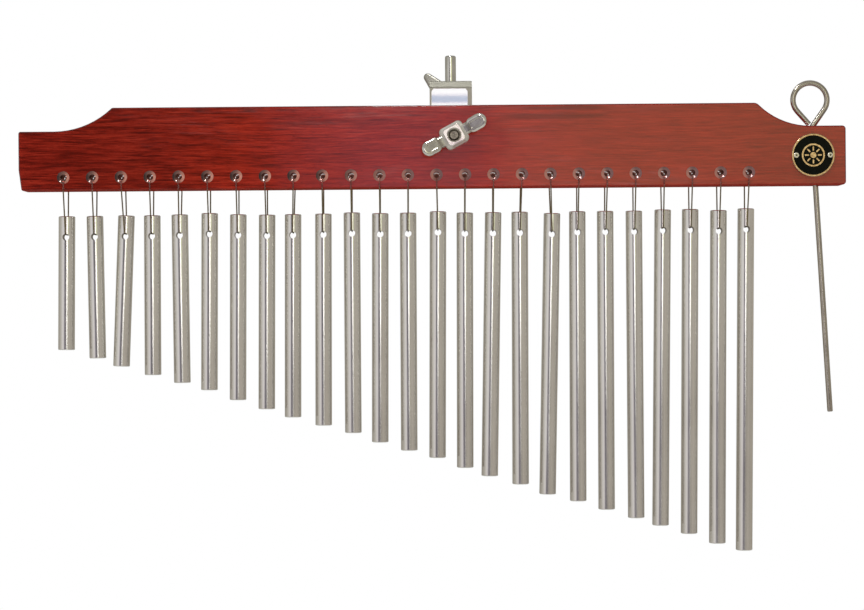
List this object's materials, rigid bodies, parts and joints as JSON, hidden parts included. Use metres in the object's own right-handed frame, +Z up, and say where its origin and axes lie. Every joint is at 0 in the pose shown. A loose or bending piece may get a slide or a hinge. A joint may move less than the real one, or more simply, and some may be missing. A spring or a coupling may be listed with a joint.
{
  "type": "bar chimes",
  "caption": "Hanging bar chimes: a stepped lacquered wooden beam carries a row of aluminium bars on cord loops, a clamp bracket with a post for a stand, and a steel beater.",
  "frame": {"origin": "on the axis of the mount post, half way up its free length above the bracket", "axes": "+X to the right along the beam towards the longest bar, +Y to the back, +Z up along the post; the front of the beam faces -Y"},
  "size_m": [0.4744, 0.0613, 0.2883],
  "materials": {
    "lacquered_wood": "red-stained wood under clear gloss lacquer",
    "bar_aluminium": "satin polished",
    "cord_brown": "thin translucent brown nylon line",
    "chrome": "chrome plate",
    "nickel": "bright nickel plate",
    "beater_steel": "plain bright steel wire",
    "badge_brass": "antique brass with black enamel field",
    "pin_brass": "pale polished brass"
  },
  "bodies": {
    "post": {"mount_post": "chrome"},
    "bracket": {"mount_bracket": "chrome", "clamp_bolt": "nickel", "washer": "nickel"},
    "beam": {"beam": "lacquered_wood", "badge": "badge_brass", "badge_pins": "pin_brass"},
    "wing_nut": {"front_wing_nut": "nickel"},
    "rear_screw": {"rear_wing_screw": "chrome"},
    "beater": {"beater": "beater_steel"},
    "chime_01": {"cord_01": "cord_brown", "bar_01": "bar_aluminium"},
    "chime_02": {"cord_02": "cord_brown", "bar_02": "bar_aluminium"},
    "chime_03": {"cord_03": "cord_brown", "bar_03": "bar_aluminium"},
    "chime_04": {"cord_04": "cord_brown", "bar_04": "bar_aluminium"},
    "chime_05": {"cord_05": "cord_brown", "bar_05": "bar_aluminium"},
    "chime_06": {"cord_06": "cord_brown", "bar_06": "bar_aluminium"},
    "chime_07": {"cord_07": "cord_brown", "bar_07": "bar_aluminium"},
    "chime_08": {"cord_08": "cord_brown", "bar_08": "bar_aluminium"},
    "chime_09": {"cord_09": "cord_brown", "bar_09": "bar_aluminium"},
    "chime_10": {"cord_10": "cord_brown", "bar_10": "bar_aluminium"},
    "chime_11": {"cord_11": "cord_brown", "bar_11": "bar_aluminium"},
    "chime_12": {"cord_12": "cord_brown", "bar_12": "bar_aluminium"},
    "chime_13": {"cord_13": "cord_brown", "bar_13": "bar_aluminium"},
    "chime_14": {"cord_14": "cord_brown", "bar_14": "bar_aluminium"},
    "chime_15": {"cord_15": "cord_brown", "bar_15": "bar_aluminium"},
    "chime_16": {"cord_16": "cord_brown", "bar_16": "bar_aluminium"},
    "chime_17": {"cord_17": "cord_brown", "bar_17": "bar_aluminium"},
    "chime_18": {"cord_18": "cord_brown", "bar_18": "bar_aluminium"},
    "chime_19": {"cord_19": "cord_brown", "bar_19": "bar_aluminium"},
    "chime_20": {"cord_20": "cord_brown", "bar_20": "bar_aluminium"},
    "chime_21": {"cord_21": "cord_brown", "bar_21": "bar_aluminium"},
    "chime_22": {"cord_22": "cord_brown", "bar_22": "bar_aluminium"},
    "chime_23": {"cord_23": "cord_brown", "bar_23": "bar_aluminium"},
    "chime_24": {"cord_24": "cord_brown", "bar_24": "bar_aluminium"},
    "chime_25": {"cord_25": "cord_brown", "bar_25": "bar_aluminium"}
  },
  "joints": [
    {"name": "beam_tilt", "type": "hinge", "parent": "bracket", "child": "beam", "pos_m": [0.0015, -0.0187, -0.0411], "axis": [0, -1, 0], "range_deg": [-15, 15]},
    {"name": "beater_lift", "type": "slide", "parent": "beam", "child": "beater", "axis": [-0.0567, 0, 0.9984], "range_m": [0, 0.17]},
    {"name": "bracket_turn", "type": "hinge", "parent": "post", "child": "bracket", "pos_m": [0, 0, -0.0178], "axis": [0, 0, 1], "continuous": true},
    {"name": "chime_01_swing", "type": "hinge", "parent": "beam", "child": "chime_01", "pos_m": [-0.2227, -0.0187, -0.06315], "axis": [0, -1, 0], "range_deg": [-25, 4.76]},
    {"name": "chime_02_swing", "type": "hinge", "parent": "beam", "child": "chime_02", "pos_m": [-0.2061, -0.0187, -0.06315], "axis": [0, -1, 0], "range_deg": [-4.74, 2.23]},
    {"name": "chime_03_swing", "type": "hinge", "parent": "beam", "child": "chime_03", "pos_m": [-0.1896, -0.0187, -0.06315], "axis": [0, -1, 0], "range_deg": [-2.21, 4.43]},
    {"name": "chime_04_swing", "type": "hinge", "parent": "beam", "child": "chime_04", "pos_m": [-0.1731, -0.0187, -0.06315], "axis": [0, -1, 0], "range_deg": [-4.4, 3.56]},
    {"name": "chime_05_swing", "type": "hinge", "parent": "beam", "child": "chime_05", "pos_m": [-0.1566, -0.0187, -0.06315], "axis": [0, -1, 0], "range_deg": [-3.55, 2.83]},
    {"name": "chime_06_swing", "type": "hinge", "parent": "beam", "child": "chime_06", "pos_m": [-0.1401, -0.0187, -0.06315], "axis": [0, -1, 0], "range_deg": [-2.81, 3.14]},
    {"name": "chime_07_swing", "type": "hinge", "parent": "beam", "child": "chime_07", "pos_m": [-0.1236, -0.0187, -0.06315], "axis": [0, -1, 0], "range_deg": [-3.13, 3.04]},
    {"name": "chime_08_swing", "type": "hinge", "parent": "beam", "child": "chime_08", "pos_m": [-0.1071, -0.0187, -0.06315], "axis": [0, -1, 0], "range_deg": [-3.03, 2.31]},
    {"name": "chime_09_swing", "type": "hinge", "parent": "beam", "child": "chime_09", "pos_m": [-0.0907, -0.0187, -0.06315], "axis": [0, -1, 0], "range_deg": [-2.3, 3.26]},
    {"name": "chime_10_swing", "type": "hinge", "parent": "beam", "child": "chime_10", "pos_m": [-0.0743, -0.0187, -0.06315], "axis": [0, -1, 0], "range_deg": [-3.25, 2.91]},
    {"name": "chime_11_swing", "type": "hinge", "parent": "beam", "child": "chime_11", "pos_m": [-0.0578, -0.0187, -0.06315], "axis": [0, -1, 0], "range_deg": [-2.9, 2.21]},
    {"name": "chime_12_swing", "type": "hinge", "parent": "beam", "child": "chime_12", "pos_m": [-0.0414, -0.0187, -0.06315], "axis": [0, -1, 0], "range_deg": [-2.21, 2.59]},
    {"name": "chime_13_swing", "type": "hinge", "parent": "beam", "child": "chime_13", "pos_m": [-0.0251, -0.0187, -0.06315], "axis": [0, -1, 0], "range_deg": [-2.58, 2.37]},
    {"name": "chime_14_swing", "type": "hinge", "parent": "beam", "child": "chime_14", "pos_m": [-0.0087, -0.0187, -0.06315], "axis": [0, -1, 0], "range_deg": [-2.36, 2.17]},
    {"name": "chime_15_swing", "type": "hinge", "parent": "beam", "child": "chime_15", "pos_m": [0.0077, -0.0187, -0.06315], "axis": [0, -1, 0], "range_deg": [-2.17, 1.5]},
    {"name": "chime_16_swing", "type": "hinge", "parent": "beam", "child": "chime_16", "pos_m": [0.024, -0.0187, -0.06315], "axis": [0, -1, 0], "range_deg": [-1.49, 2.65]},
    {"name": "chime_17_swing", "type": "hinge", "parent": "beam", "child": "chime_17", "pos_m": [0.0403, -0.0187, -0.06315], "axis": [0, -1, 0], "range_deg": [-2.65, 1.88]},
    {"name": "chime_18_swing", "type": "hinge", "parent": "beam", "child": "chime_18", "pos_m": [0.0566, -0.0187, -0.06315], "axis": [0, -1, 0], "range_deg": [-1.87, 2.45]},
    {"name": "chime_19_swing", "type": "hinge", "parent": "beam", "child": "chime_19", "pos_m": [0.0729, -0.0187, -0.06315], "axis": [0, -1, 0], "range_deg": [-2.45, 2]},
    {"name": "chime_20_swing", "type": "hinge", "parent": "beam", "child": "chime_20", "pos_m": [0.0892, -0.0187, -0.06315], "axis": [0, -1, 0], "range_deg": [-2, 2.14]},
    {"name": "chime_21_swing", "type": "hinge", "parent": "beam", "child": "chime_21", "pos_m": [0.1055, -0.0187, -0.06315], "axis": [0, -1, 0], "range_deg": [-2.14, 1.23]},
    {"name": "chime_22_swing", "type": "hinge", "parent": "beam", "child": "chime_22", "pos_m": [0.1217, -0.0187, -0.06315], "axis": [0, -1, 0], "range_deg": [-1.23, 1.89]},
    {"name": "chime_23_swing", "type": "hinge", "parent": "beam", "child": "chime_23", "pos_m": [0.1379, -0.0187, -0.06315], "axis": [0, -1, 0], "range_deg": [-1.89, 1.8]},
    {"name": "chime_24_swing", "type": "hinge", "parent": "beam", "child": "chime_24", "pos_m": [0.1542, -0.0187, -0.06315], "axis": [0, -1, 0], "range_deg": [-1.8, 1.53]},
    {"name": "chime_25_swing", "type": "hinge", "parent": "beam", "child": "chime_25", "pos_m": [0.1704, -0.0187, -0.06315], "axis": [0, -1, 0], "range_deg": [-1.52, 12]},
    {"name": "rear_screw_turn", "type": "hinge", "parent": "bracket", "child": "rear_screw", "pos_m": [0, 0.012, -0.0178], "axis": [0, 1, 0], "continuous": true},
    {"name": "wing_nut_turn", "type": "hinge", "parent": "bracket", "child": "wing_nut", "pos_m": [0.0015, -0.035, -0.0411], "axis": [0, -1, 0], "continuous": true}
  ]
}
